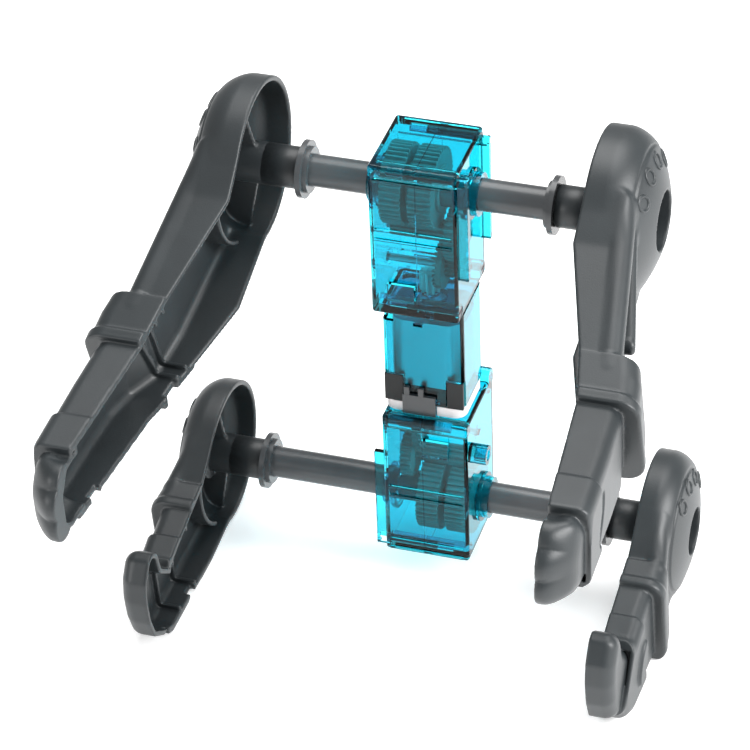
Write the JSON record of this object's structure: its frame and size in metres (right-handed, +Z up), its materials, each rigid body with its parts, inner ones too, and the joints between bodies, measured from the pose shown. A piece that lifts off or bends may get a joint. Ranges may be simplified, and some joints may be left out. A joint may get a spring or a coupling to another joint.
{
  "type": "walking robot limb drive",
  "caption": "Motorised walking-robot drive: two geared boxes stacked on one motor turn two cross axles that carry long hollow arms in front and short hollow legs behind.",
  "frame": {"origin": "under the middle of the bounding box, on the level the lower limbs lie on", "axes": "+X along the axles, -Y the way the limbs reach at rest, +Z up the stack from the rear gearbox to the front one"},
  "size_m": [0.1472, 0.1452, 0.1455],
  "materials": {
    "clear_cyan": "clear tinted moulded plastic",
    "charcoal_plastic": "satin moulded",
    "grey_plastic": "satin moulded",
    "gear_plastic": "moulded",
    "white_plastic": "moulded",
    "black_plastic": "moulded",
    "steel": "plain",
    "black_screw": "black oxide",
    "brass": "plain",
    "iron": "bare"
  },
  "bodies": {
    "chassis": {"motor_sleeve": "clear_cyan", "motor_can": "steel", "motor_brush_cap": "black_plastic", "motor_terminals": "brass", "motor_magnets": "iron", "motor_collar": "white_plastic", "terminal_guard": "grey_plastic", "motor_seat": "clear_cyan", "motor_wire_blocks": "black_plastic", "sleeve_window_pads": "black_plastic", "side_connector": "clear_cyan", "front_gearbox_left_shell": "clear_cyan", "front_gearbox_right_shell": "clear_cyan", "front_gearbox_screws": "black_screw", "front_crown_pin": "steel", "front_idler_pin": "steel", "front_axle_bushes": "clear_cyan", "rear_gearbox_left_shell": "clear_cyan", "rear_gearbox_right_shell": "clear_cyan", "rear_gearbox_screws": "black_screw", "rear_crown_pin": "steel", "rear_idler_pin": "steel", "rear_axle_bushes": "clear_cyan"},
    "front_axle_set": {"front_axle": "grey_plastic", "front_drive_gear": "gear_plastic", "front_second_gear": "gear_plastic", "front_left_flange": "grey_plastic", "front_right_flange": "grey_plastic", "front_axle_end_screws": "black_screw", "left_arm": "charcoal_plastic", "right_arm": "charcoal_plastic"},
    "rear_axle_set": {"rear_axle": "grey_plastic", "rear_drive_gear": "gear_plastic", "rear_second_gear": "gear_plastic", "rear_left_flange": "grey_plastic", "rear_right_flange": "grey_plastic", "rear_axle_end_screws": "black_screw", "left_leg": "charcoal_plastic", "right_leg": "charcoal_plastic"},
    "motor_rotor": {"motor_shaft": "steel", "motor_armature": "iron", "motor_commutator": "brass", "front_motor_pinion": "white_plastic", "rear_motor_pinion": "white_plastic"},
    "front_crown": {"front_crown_gear": "gear_plastic"},
    "front_idler": {"front_idler_gear": "gear_plastic"},
    "rear_crown": {"rear_crown_gear": "gear_plastic"},
    "rear_idler": {"rear_idler_gear": "gear_plastic"}
  },
  "joints": [
    {"name": "front_axle_turn", "type": "hinge", "parent": "chassis", "child": "front_axle_set", "pos_m": [0, 0.0493, 0.1222], "axis": [1, 0, 0], "range_deg": [-250, 48]},
    {"name": "rear_axle_turn", "type": "hinge", "parent": "chassis", "child": "rear_axle_set", "pos_m": [0, 0.0493, 0.0222], "axis": [1, 0, 0], "range_deg": [-251, 49]},
    {"name": "motor_spin", "type": "hinge", "parent": "chassis", "child": "motor_rotor", "pos_m": [0, 0.0481, 0.0722], "axis": [0, 0, 1], "range_deg": [-7561, 1452.52]},
    {"name": "front_crown_spin", "type": "hinge", "parent": "chassis", "child": "front_crown", "pos_m": [0, 0.0481, 0.0993], "axis": [1, 0, 0], "range_deg": [-3151, 605.8]},
    {"name": "front_idler_spin", "type": "hinge", "parent": "chassis", "child": "front_idler", "pos_m": [0, 0.0495, 0.1092], "axis": [1, 0, 0], "range_deg": [-202.6, 1051]},
    {"name": "rear_crown_spin", "type": "hinge", "parent": "chassis", "child": "rear_crown", "pos_m": [0, 0.0481, 0.0451], "axis": [1, 0, 0], "range_deg": [-3151, 605.8]},
    {"name": "rear_idler_spin", "type": "hinge", "parent": "chassis", "child": "rear_idler", "pos_m": [0, 0.0495, 0.0352], "axis": [1, 0, 0], "range_deg": [-202.6, 1051]}
  ],
  "couplings": [
    {"joint": "rear_axle_turn", "follows": "front_axle_turn", "ratio": 1},
    {"joint": "motor_spin", "follows": "front_axle_turn", "ratio": 30.24},
    {"joint": "front_crown_spin", "follows": "front_axle_turn", "ratio": 12.6},
    {"joint": "front_idler_spin", "follows": "front_axle_turn", "ratio": -4.2},
    {"joint": "rear_crown_spin", "follows": "front_axle_turn", "ratio": 12.6},
    {"joint": "rear_idler_spin", "follows": "front_axle_turn", "ratio": -4.2}
  ]
}
